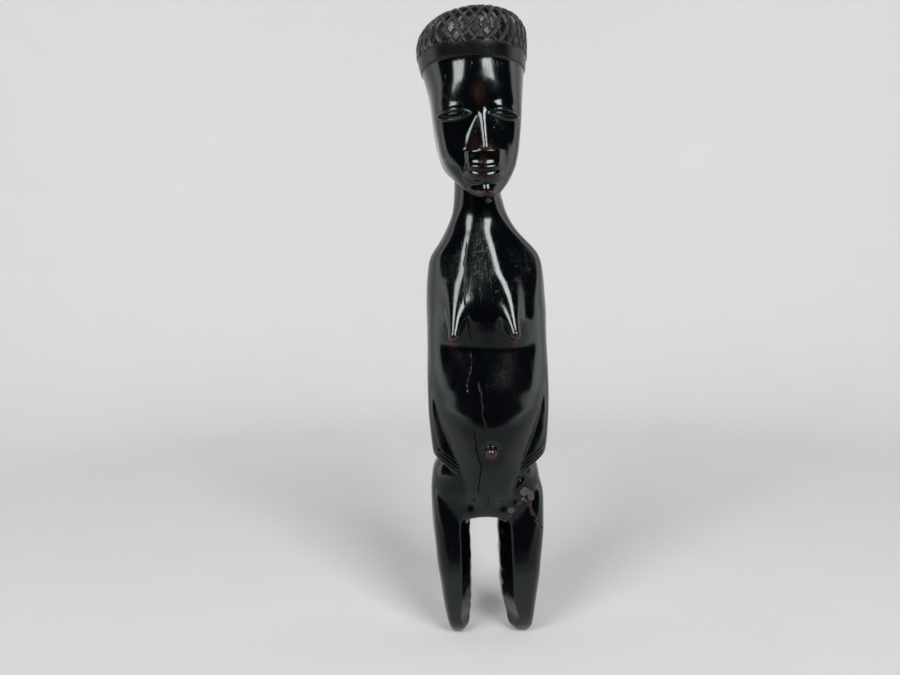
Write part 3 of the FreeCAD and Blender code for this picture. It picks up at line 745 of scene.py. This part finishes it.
def build(name, field, low, high, h, size, passes, masks, material, keep=200, eps=0.06):
    p, faces = surface_net(field, low, high, h)
    p, faces = largest(p, faces, keep)
    p = project(field, p, 0.6, 3)
    p = relax(field, p, faces, 3, 0.5)
    p, faces = refine(field, p, faces, size, passes)
    p = project(field, p, 0.3, 2, eps)
    normal = gradient(field, p, eps)
    length = np.linalg.norm(normal, axis=1)
    flat = face_normals(p, faces)
    bad = length < 0.05
    normal = normal / np.maximum(length, 1e-9)[:, None]
    normal[bad] = flat[bad]
    away = (normal * flat).sum(1)
    normal[away < 0.25] = flat[away < 0.25]
    mesh = bpy.data.meshes.new(name)
    mesh.vertices.add(len(p))
    mesh.vertices.foreach_set("co", (p * 0.001).astype(np.float32).ravel())
    mesh.loops.add(len(faces) * 3)
    mesh.loops.foreach_set("vertex_index", faces.astype(np.int32).ravel())
    mesh.polygons.add(len(faces))
    mesh.polygons.foreach_set("loop_start", (np.arange(len(faces)) * 3).astype(np.int32))
    mesh.polygons.foreach_set("use_smooth", np.ones(len(faces), bool))
    mesh.update(calc_edges=True)
    for key, value in masks(p, normal).items():
        att = mesh.attributes.new(key, "FLOAT", "POINT")
        att.data.foreach_set("value", np.clip(value, 0, 1).astype(np.float32))
    mesh.normals_split_custom_set_from_vertices(normal.astype(np.float32).tolist())
    mesh.materials.append(material)
    obj = bpy.data.objects.new(name, mesh)
    bpy.context.scene.collection.objects.link(obj)
    print("piece", name, len(p), "points", len(faces), "triangles")
    return obj


# --------------------------------------------------------------- surface masks
WEAR = [
    # x, z, half width, half height, amount: places rubbed back to the red-brown wood
    (-14.6, 131.2, 2.0, 2.3, 0.95),
    (11.3, 131.4, 2.0, 2.3, 0.95),
    (0.5, 83.4, 2.2, 2.2, 0.7),
    (0.1, 209.3, 3.0, 1.3, 0.75),
    (-2.4, 231.0, 2.2, 3.2, 0.50),
    (0.8, 190.6, 6.0, 2.0, 0.45),
    (-0.6, 197.8, 5.6, 1.1, 0.35),
    (-0.7, 204.0, 1.6, 2.0, 0.35),
    (-4.5, 211.0, 2.0, 3.0, 0.25),
]


def body_masks(p, normal):
    x, y, z = p.T
    front = step(-4.0, -10.0, y)
    wear = np.zeros(len(p))
    for cx, cz, wx, wz, amount in WEAR:
        wear = np.maximum(
            wear,
            amount
            * np.exp(-(((x - cx) / wx) ** 2 + ((z - cz) / wz) ** 2))
            * (step(-13.0, -16.0, y) if cz > 150 else front),
        )
    wear = np.maximum(wear, 0.85 * step(7.0, 0.5, z))
    bandish = np.exp(-((z - 250.4) / 0.7) ** 2) * 0.45
    wear = np.maximum(wear, bandish * (0.6 + 0.4 * np.sin(x * 1.3 + y)))
    cx, cy = -4.0, 1.6
    dx, dy = x - cx, y - cy
    r = np.hypot(dx, dy) + 1e-6
    phi = np.arctan2(dx, -dy)
    t = np.where(z < 257, z - 251, 6 + (22.5 - r) * 0.55 + (z - 257) * 0.75)
    cut, _ = lattice(phi * 22.9, t, 11)
    flat_cut, _ = lattice(dx * 1.02 + 40, dy + 23, 12)
    top = step(13.5, 10.5, r) * (z > 262)
    cut = cut * (1 - top) + flat_cut * top
    hairy = step(250.8, 251.4, z)
    band = step(245.0, 245.8, z)
    brk = break_side(x, y, z)
    spread = 1.5 * np.exp(-(((x - 3.5) / 3.5) ** 2 + ((z - 52.0) / 2.5) ** 2)) + 0.5 * np.exp(-(((x - 16.0) / 3.0) ** 2 + ((z - 62.5) / 2.5) ** 2))
    raw = step(0.80, 0.10, np.abs(brk) - spread - 0.30 * ripple(x, y, z, CHIP)) * (z > 36) * (x > -3)
    crack = np.zeros(len(p))
    for pts, w in ((CHEST_CRACK, 0.28), (LOWER_CRACK, 0.28), (SMALL_CRACK, 0.22)):
        d, _, _ = line_dist(x, z, pts)
        crack = np.maximum(crack, np.clip(1 - d / w, 0, 1) * (y < -5))
    d, _, _ = line_dist(x, z, UPPER_CRACK)
    pale = np.clip(1.0 - d / 0.26, 0, 1) * (y < -5)
    return {
        "pale": pale,
        "wear": wear,
        "cap": band,
        "cut": cut * hairy,
        "raw": raw,
        "crack": crack,
        "facing": np.clip(normal[:, 2] * 0.5 + 0.5, 0, 1),
    }


def plain_masks(p, normal):
    x, y, z = p.T
    return {"wear": np.zeros(len(p)), "raw": np.zeros(len(p))}


# ------------------------------------------------------------------- materials
def material(name):
    m = bpy.data.materials.new(name)
    m.use_nodes = True
    m.node_tree.nodes.clear()
    return m, Graph(m.node_tree)


class Graph:
    """Shorthand for wiring shader nodes."""

    def __init__(self, tree):
        self.tree = tree
        self.mm = None

    def node(self, kind, **sets):
        n = self.tree.nodes.new(kind)
        for key, value in sets.items():
            setattr(n, key, value)
        return n

    def link(self, a, b):
        self.tree.links.new(a, b)

    def put(self, value, socket):
        if isinstance(value, bpy.types.NodeSocket):
            self.link(value, socket)
        else:
            socket.default_value = value

    def place(self, scale=(1, 1, 1), turn=(0, 0, 0)):
        """Object coordinates in millimetres, then scaled."""
        coord = self.node("ShaderNodeTexCoord")
        mapping = self.node("ShaderNodeMapping")
        mapping.inputs["Scale"].default_value = tuple(1000.0 * s for s in scale)
        mapping.inputs["Rotation"].default_value = turn
        self.link(coord.outputs["Object"], mapping.inputs["Vector"])
        return mapping.outputs["Vector"]

    def noise(self, vector, scale=1.0, detail=3.0, rough=0.55, warp=0.0):
        n = self.node("ShaderNodeTexNoise")
        self.link(vector, n.inputs["Vector"])
        n.inputs["Scale"].default_value = scale
        n.inputs["Detail"].default_value = detail
        n.inputs["Roughness"].default_value = rough
        n.inputs["Distortion"].default_value = warp
        return n.outputs["Fac"]

    def voronoi(self, vector, scale=1.0, feature="F1", rand=1.0):
        n = self.node("ShaderNodeTexVoronoi", feature=feature)
        self.link(vector, n.inputs["Vector"])
        n.inputs["Scale"].default_value = scale
        n.inputs["Randomness"].default_value = rand
        return n.outputs["Distance"]

    def ramp(self, value, low, high, a=0.0, b=1.0):
        n = self.node("ShaderNodeMapRange", interpolation_type="SMOOTHSTEP")
        self.link(value, n.inputs["Value"])
        n.inputs["From Min"].default_value = low
        n.inputs["From Max"].default_value = high
        n.inputs["To Min"].default_value = a
        n.inputs["To Max"].default_value = b
        return n.outputs["Result"]

    def math(self, op, a, b=0.0, clamp=False):
        n = self.node("ShaderNodeMath", operation=op, use_clamp=clamp)
        self.put(a, n.inputs[0])
        self.put(b, n.inputs[1])
        return n.outputs[0]

    def mix(self, fac, a, b):
        n = self.node("ShaderNodeMix", data_type="RGBA")
        self.put(fac, n.inputs[0])
        self.put(a, n.inputs[6])
        self.put(b, n.inputs[7])
        return n.outputs[2]

    def mask(self, name):
        n = self.node("ShaderNodeAttribute", attribute_name=name)
        return n.outputs["Fac"]

    def bump(self, height, distance, strength=1.0, normal=None):
        n = self.node("ShaderNodeBump")
        n.inputs["Distance"].default_value = distance
        n.inputs["Strength"].default_value = strength
        self.link(height, n.inputs["Height"])
        if normal is not None:
            self.link(normal, n.inputs["Normal"])
        return n.outputs["Normal"]

    def surface(self, color, rough, normal, ior=1.5, coat=0.0, coat_rough=0.1, level=0.5):
        out = self.node("ShaderNodeOutputMaterial")
        b = self.node("ShaderNodeBsdfPrincipled")
        self.put(color, b.inputs["Base Color"])
        self.put(rough, b.inputs["Roughness"])
        self.put(level, b.inputs["Specular IOR Level"])
        b.inputs["Specular Tint"].default_value = (0.90, 0.99, 1.0, 1.0)
        b.inputs["IOR"].default_value = ior
        if coat:
            b.inputs["Coat Weight"].default_value = coat
            b.inputs["Coat Roughness"].default_value = coat_rough
        if normal is not None:
            self.link(normal, b.inputs["Normal"])
        self.link(b.outputs["BSDF"], out.inputs["Surface"])
        return b


def wood(name, leg=False):
    m, g = material(name)
    grain = g.noise(g.place((1.1, 1.1, 0.075), (0.02, 0.03, 0.0)), 1.0, 5.0, 0.62, 0.35)
    fine = g.noise(g.place((4.5, 4.5, 0.22), (0.02, 0.03, 0.0)), 1.0, 3.0, 0.6)
    cloud = g.noise(g.place((0.09, 0.09, 0.06)), 1.0, 4.0, 0.6)
    pores = g.voronoi(g.place((2.6, 2.6, 0.17), (0.02, 0.03, 0.0)), 1.0)
    specks = g.voronoi(g.place((0.62, 0.62, 0.5)), 1.0)
    scratch = g.noise(g.place((2.2, 0.5, 0.12), (0.0, 0.5, 0.3)), 1.0, 2.0, 0.5, 0.2)
    pore = g.ramp(pores, 0.20, 0.08)
    pore = g.math("MULTIPLY", pore, g.ramp(cloud, 0.42, 0.62))
    wear = g.mask("wear")
    wear = g.math("MULTIPLY", wear, g.ramp(fine, 0.25, 0.62, 0.55, 1.15), clamp=True)
    raw, crack, cap, cut = g.mask("raw"), g.mask("crack"), g.mask("cap"), g.mask("cut")
    dark = g.mix(g.ramp(grain, 0.35, 0.7), (0.0005, 0.0008, 0.0013, 1), (0.0010, 0.0013, 0.0017, 1))
    dark = g.mix(g.math("MULTIPLY", g.ramp(cloud, 0.58, 0.75), 0.35), dark, (0.0040, 0.0026, 0.0022, 1))
    red = g.mix(g.ramp(grain, 0.3, 0.7), (0.022, 0.0075, 0.0040, 1), (0.060, 0.020, 0.010, 1))
    color = g.mix(wear, dark, red)
    hair = g.mix(g.ramp(fine, 0.3, 0.7), (0.0014, 0.0013, 0.0017, 1), (0.0042, 0.0034, 0.0037, 1))
    color = g.mix(g.math("MULTIPLY", cap, g.math("SUBTRACT", 1.0, wear, clamp=True)), color, hair)
    pale = g.mix(g.ramp(fine, 0.3, 0.75), (0.014, 0.0135, 0.016, 1), (0.055, 0.052, 0.058, 1))
    color = g.mix(g.math("MULTIPLY", g.ramp(cut, 0.05, 0.55), 0.9), color, pale)
    tan = g.noise(g.place((1.3, 1.3, 1.3)), 1.0, 4.0, 0.7)
    exposed = g.mix(g.ramp(tan, 0.44, 0.66), (0.0075, 0.0024, 0.0018, 1), (0.115, 0.060, 0.045, 1))
    color = g.mix(g.math("MULTIPLY", raw, g.ramp(tan, 0.36, 0.56, 0.25, 1.0)), color, exposed)
    color = g.mix(g.math("MULTIPLY", crack, 0.75), color, (0.0016, 0.0015, 0.0015, 1))
    color = g.mix(g.math("MULTIPLY", g.mask("pale"), g.ramp(fine, 0.35, 0.6)), color, (0.028, 0.029, 0.026, 1))
    color = g.mix(g.math("MULTIPLY", pore, 0.6), color, (0.0006, 0.0006, 0.0007, 1))
    rough = g.ramp(cloud, 0.3, 0.72, 0.10, 0.16)
    rough = g.math("ADD", rough, g.ramp(scratch, 0.55, 0.75, 0.0, 0.05))
    rough = g.math("ADD", rough, g.math("MULTIPLY", wear, 0.13))
    rough = g.math("ADD", rough, g.math("MULTIPLY", cap, 0.14))
    rough = g.math("ADD", rough, g.math("MULTIPLY", raw, 0.38))
    rough = g.math("ADD", rough, g.math("MULTIPLY", cut, 0.25), clamp=True)
    height = g.math("ADD", g.math("MULTIPLY", grain, 0.30), g.math("MULTIPLY", fine, 0.10))
    height = g.math("SUBTRACT", height, g.math("MULTIPLY", pore, 0.5))
    height = g.math("ADD", height, g.math("MULTIPLY", g.ramp(scratch, 0.6, 0.72), -0.12))
    normal = g.bump(height, 0.00005)
    dents = g.math("MULTIPLY", g.ramp(specks, 0.16, 0.04), g.ramp(cloud, 0.45, 0.6))
    normal = g.bump(g.math("MULTIPLY", dents, -1.0), 0.00002, 1.0, normal)
    coarse = g.noise(g.place((1.8, 1.8, 1.2)), 1.0, 4.0, 0.65)
    rougher = g.math("ADD", g.math("MULTIPLY", raw, 1.0), g.math("MULTIPLY", cap, 0.22))
    normal = g.bump(g.math("MULTIPLY", coarse, rougher), 0.00022, 1.0, normal)
    level = g.math("SUBTRACT", 0.46, g.math("MULTIPLY", cap, 0.16))
    g.surface(color, rough, normal, 1.5, level=level)
    return m


def glue_material():
    m, g = material("old_glue")
    n = g.noise(g.place((1.6, 1.6, 1.6)), 1.0, 4.0, 0.7)
    blot = g.noise(g.place((0.55, 0.55, 0.55)), 1.0, 3.0, 0.6)
    color = g.mix(g.ramp(n, 0.46, 0.68), (0.010, 0.0036, 0.0026, 1), (0.085, 0.045, 0.032, 1))
    color = g.mix(g.ramp(blot, 0.56, 0.64), color, (0.012, 0.0035, 0.0025, 1))
    normal = g.bump(n, 0.00012)
    g.surface(color, g.ramp(n, 0.3, 0.7, 0.35, 0.6), normal, 1.48)
    return m


def putty_material():
    m, g = material("putty")
    n = g.noise(g.place((1.2, 1.2, 1.2)), 1.0, 4.0, 0.65)
    dirt = g.noise(g.place((0.5, 0.5, 0.6)), 1.0, 3.0, 0.6)
    color = g.mix(g.ramp(n, 0.3, 0.7), (0.018, 0.017, 0.017, 1), (0.065, 0.060, 0.058, 1))
    color = g.mix(g.ramp(dirt, 0.5, 0.66), color, (0.016, 0.013, 0.012, 1))
    normal = g.bump(n, 0.00012)
    g.surface(color, g.ramp(n, 0.3, 0.7, 0.40, 0.62), normal, 1.45)
    return m


def filler_material():
    m, g = material("wax_filler")
    n = g.noise(g.place((1.9, 1.9, 0.8)), 1.0, 3.0, 0.6)
    gap = g.noise(g.place((0.3, 0.3, 0.33)), 1.0, 2.0, 0.5)
    color = g.mix(g.ramp(n, 0.3, 0.7), (0.009, 0.008, 0.005, 1), (0.027, 0.023, 0.014, 1))
    color = g.mix(g.ramp(gap, 0.53, 0.60), color, (0.018, 0.014, 0.011, 1))
    normal = g.bump(n, 0.00006)
    g.surface(color, g.ramp(n, 0.3, 0.7, 0.38, 0.55), normal, 1.44)
    return m


# ----------------------------------------------------------------- the pieces
COARSE = 1.25
FINE = 1.0


def spacing(x, y, z):
    s = np.full(x.shape, 1.35)
    s = np.where(z > 244.0, 0.62, s)
    s = np.where((z > 250.4) & (y < 8), 0.46, s)
    s = np.where((z > 190) & (z < 229) & (y < -13) & (x > -21) & (x < 17), 0.50, s)
    s = np.where((z > 194) & (z < 228) & (y < -16) & (np.abs(x + 0.5) < np.where(z < 209, 9.0, 3.0)), 0.32, s)
    s = np.where((z > 186) & (z < 200), np.minimum(s, 0.8), s)
    s = np.where((z > 71) & (z < 83) & (np.abs(x) > 8) & (y < 0), np.minimum(s, 0.55), s)
    s = np.where((z > 124.5) & (z < 134) & (y < -12), np.minimum(s, 0.6), s)
    s = np.where((z > 79) & (z < 89) & (np.abs(x) < 5) & (y < -14), np.minimum(s, 0.5), s)
    edge = np.interp(z, LEVELS, B_WIDE)
    s = np.where((np.abs(np.abs(x - 0.4) - edge * 0.93) < 2.5) & (y < 0) & (z > 76) & (z < 122), np.minimum(s, 0.8), s)
    front = y < -5
    for pts in (CHEST_CRACK, UPPER_CRACK, FILLED, LOWER_CRACK, SMALL_CRACK):
        d, _, _ = line_dist(x, z, pts)
        s = np.where(front & (d < 0.9), np.minimum(s, 0.30), s)
    m = (z > 38) & (z < 69) & (x > -3)
    b = np.abs(break_side(x, y, z))
    s = np.where(m & (b < 1.4), np.minimum(s, np.where(y < 0, 0.36, 0.55)), s)
    s = np.where((z < 3), np.minimum(s, 0.9), s)
    return s * FINE


def body_field(x, y, z):
    f = figure(x, y, z)
    m = (z > 30) & (z < 72) | (z <= 30) & (x > -3)
    side = np.full(x.shape, 50.0)
    side[m] = break_side(x[m], y[m], z[m])
    g = smax(f, 0.16 - side, 0.22)
    lump = putty_field(x, y, z)
    return smax(g, -(lump + 0.12), 0.2)


def leg_field(x, y, z):
    f = figure(x, y, z)
    return smax(f, break_side(x, y, z) + 0.16, 0.22)


def glue_field(x, y, z):
    f = figure_base(x, y, z)
    b = np.abs(break_side(x, y, z))
    wide = 0.11
    proud = 0.22 + 0.10 * ripple(x, y, z, CHIP)
    return smax(b - wide, f + proud, 0.12)


LUMPS = [
    ((15.3, -10.3, 65.2), (2.3, 1.7, 1.9)),
    ((17.7, -9.3, 63.2), (1.6, 1.5, 2.1)),
    ((9.2, -11.2, 57.4), (1.5, 1.3, 1.2)),
]


def putty_field(x, y, z):
    f = np.full(x.shape, 60.0)
    m = (z > 52) & (z < 71) & (x > 3) & (x < 24) & (y < -5)
    if m.any():
        g = np.full(m.sum(), 60.0)
        for c, r in LUMPS:
            g = smin(g, ellipsoid(x[m], y[m], z[m], c, r), 0.9)
        g = g - 0.16 * ripple(x[m], y[m], z[m], CHIP)
        skin = figure_base(x[m], y[m], z[m])
        g = smax(g, skin - 0.30 - 0.12 * ripple(x[m], y[m], z[m], CHIP), 0.4)
        f[m] = g
    return f


def filler_field(x, y, z):
    f = figure_base(x, y, z)
    xs = x + 0.16 * ripple(x, y * 0.1, z, waves(23, 6, 1.6, 5.0))
    d, along, total = line_dist(xs, z, FILLED)
    ends = step(0.0, 2.0, along) * step(total, total - 2.0, along)
    w = 0.16 * (0.35 + 0.65 * ends)
    return smax(smax(d - w, f + 0.10, 0.1), -(f + 1.0), 0.1)


body_wood = wood("dark_wood")
leg_wood = wood("dark_wood_leg", True)

body = build("carved_figure", body_field, (-31, -29, -3), (32, 30, 276), COARSE, spacing, 4, body_masks, body_wood)
lower_leg = build("left_lower_leg", leg_field, (-4, -18, -3), (29, 19, 68), COARSE * 0.9, spacing, 4, body_masks, leg_wood)
glue = build("glue_line", glue_field, (-3, -18, 40), (29, 19, 68), 0.30, lambda x, y, z: np.full(x.shape, 0.6), 0, plain_masks, glue_material(), keep=20, eps=0.04)
putty = build("putty_lumps", putty_field, (3, -17, 53), (22, -6, 70), 0.42, lambda x, y, z: np.full(x.shape, 0.5), 0, plain_masks, putty_material(), keep=20)
filler = build("filled_check", filler_field, (-6, -26, 90), (1, -14, 117), 0.24, lambda x, y, z: np.full(x.shape, 0.5), 0, plain_masks, filler_material(), keep=20, eps=0.04)

for obj, node, slot in (
    (body, "carved_body", "dark_wood"),
    (lower_leg, "left_leg", "dark_wood_leg"),
    (glue, "break_glue", "old_glue"),
    (putty, "repair_putty", "putty"),
    (filler, "check_filler", "wax_filler"),
):
    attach(obj, "root")
    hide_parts(node)


# ---------------------------------------------------------- floor, light, camera
def sweep():
    """Seamless white floor that curves up behind and at the sides and stays open in front."""
    rings, spokes = 64, 128
    verts, faces = [], []
    for j in range(spokes):
        a = 2 * math.pi * j / spokes
        away = abs(math.degrees(math.atan2(math.sin(a), math.cos(a))))  # 0 behind, 180 at the camera
        open_front = max(0.0, min(1.0, (away - 78.0) / 26.0))
        open_front = open_front * open_front * (3 - 2 * open_front)
        wall = 0.50 + 0.35 * open_front
        reach = float(np.interp(180 - away, [0, 8, 20, 35, 50, 65, 80], [0.36, 0.38, 0.50, 0.75, 1.0, 1.2, 1.3]))
        for i in range(rings):
            t = i / (rings - 1)
            run = t * 2.1
            bend = 0.30
            if open_front >= 0.999:
                r, h = min(run, reach), 0.0
            else:
                arc = bend * math.pi / 2
                if run < wall:
                    r, h = run, 0.0
                elif run < wall + arc:
                    q = (run - wall) / bend
                    r, h = wall + bend * math.sin(q), bend * (1 - math.cos(q))
                else:
                    r, h = wall + bend, bend + (run - wall - arc)
                h *= 1 - open_front
            verts.append((r * math.sin(a), r * math.cos(a), h))
    for j in range(spokes):
        k = (j + 1) % spokes
        for i in range(rings - 1):
            a, b, c, d = j * rings + i, k * rings + i, k * rings + i + 1, j * rings + i + 1
            if i == 0:
                faces.append((a, d, c))
            else:
                faces.append((a, d, c, b))
    mesh = bpy.data.meshes.new("floor")
    mesh.from_pydata(verts, [], faces)
    mesh.validate()
    mesh.polygons.foreach_set("use_smooth", [True] * len(mesh.polygons))
    mesh.update()
    obj = bpy.data.objects.new("floor", mesh)
    bpy.context.scene.collection.objects.link(obj)
    m, g = material("paper_with_painted_light")
    n = g.noise(g.place((0.02, 0.02, 0.02)), 1.0, 2.0, 0.5)
    coord = g.node("ShaderNodeTexCoord")
    split = g.node("ShaderNodeSeparateXYZ")
    g.link(coord.outputs["Object"], split.inputs["Vector"])
    paper_with_painted_light = g.mix(n, (0.48, 0.485, 0.485, 1), (0.50, 0.502, 0.498, 1))
    # painted shade: a patch of floor in front of the figure is painted dark grey (0.22 against about 0.49), standing in
    # for the dimmer light there that the glossy wood reflects
    near = g.ramp(split.outputs["Y"], -0.050, -0.160)
    near = g.math("MULTIPLY", near, g.ramp(g.math("ABSOLUTE", split.outputs["X"]), 0.45, 0.20))
    paper_with_painted_light = g.mix(near, paper_with_painted_light, (0.22, 0.225, 0.23, 1))
    b = g.surface(paper_with_painted_light, 0.85, None, 1.4, level=0.1)
    # painted light: the floor glows, brighter towards the back and at the far sides, as stand-in fill light; it is no
    # lamp
    b.inputs["Emission Color"].default_value = (1.0, 0.995, 0.985, 1)
    painted_glow = g.ramp(split.outputs["Y"], 0.0, 0.72, FLOOR_PAINTED_GLOW, FLOOR_PAINTED_GLOW + 0.13)
    painted_side_glow = g.ramp(g.math("ABSOLUTE", split.outputs["X"]), 0.50, 0.68)
    painted_side_glow = g.math("MULTIPLY", painted_side_glow, g.ramp(split.outputs["Y"], 0.38, 0.10, 0.0, 0.9))
    g.link(g.math("ADD", painted_glow, painted_side_glow), b.inputs["Emission Strength"])
    mesh.materials.append(m)
    return obj


# base strength of the floor's painted glow
FLOOR_PAINTED_GLOW = 0.06


def softbox(name, azimuth, elevation, distance, width, height, radiance, target=(0.0, 0.0, 0.12)):
    a, e = math.radians(azimuth), math.radians(elevation)
    at_ = Vector(target) + distance * Vector(
        (math.sin(a) * math.cos(e), -math.cos(a) * math.cos(e), math.sin(e))
    )
    data = bpy.data.lights.new(name, "AREA")
    data.shape = "RECTANGLE"
    data.size, data.size_y = width, height
    data.energy = radiance * math.pi * width * height
    data.color = (1.0, 0.99, 0.975)
    obj = bpy.data.objects.new(name, data)
    obj.location = at_
    obj.rotation_euler = (Vector(target) - at_).to_track_quat("-Z", "Y").to_euler()
    bpy.context.scene.collection.objects.link(obj)
    return obj


floor = sweep()
softbox("key", 27.0, 34.0, 1.20, 0.45, 0.66, 16.0)
softbox("fill", -36.0, 34.0, 1.20, 0.45, 0.66, 12.5)

world = bpy.data.worlds.new("room")
world.use_nodes = True
world.node_tree.nodes["Background"].inputs["Color"].default_value = (0.55, 0.72, 1.0, 1)
world.node_tree.nodes["Background"].inputs["Strength"].default_value = 0.022
bpy.context.scene.world = world

cam = bpy.data.cameras.new("camera")
cam.sensor_width = 36.0
cam.lens = 655.0 / 900.0 * 36.0
cam.clip_start, cam.clip_end = 0.01, 10.0
camera = bpy.data.objects.new("camera", cam)
pitch, roll = math.radians(2.94), math.radians(-1.0)
camera.matrix_world = (
    Matrix.Translation((-0.0157, -0.2884, 0.1464))
    @ Matrix.Rotation(math.pi / 2 - pitch, 4, "X")
    @ Matrix.Rotation(roll, 4, "Z")
)
bpy.context.scene.collection.objects.link(camera)
bpy.context.scene.camera = camera
bpy.context.scene.view_settings.view_transform = "Standard"
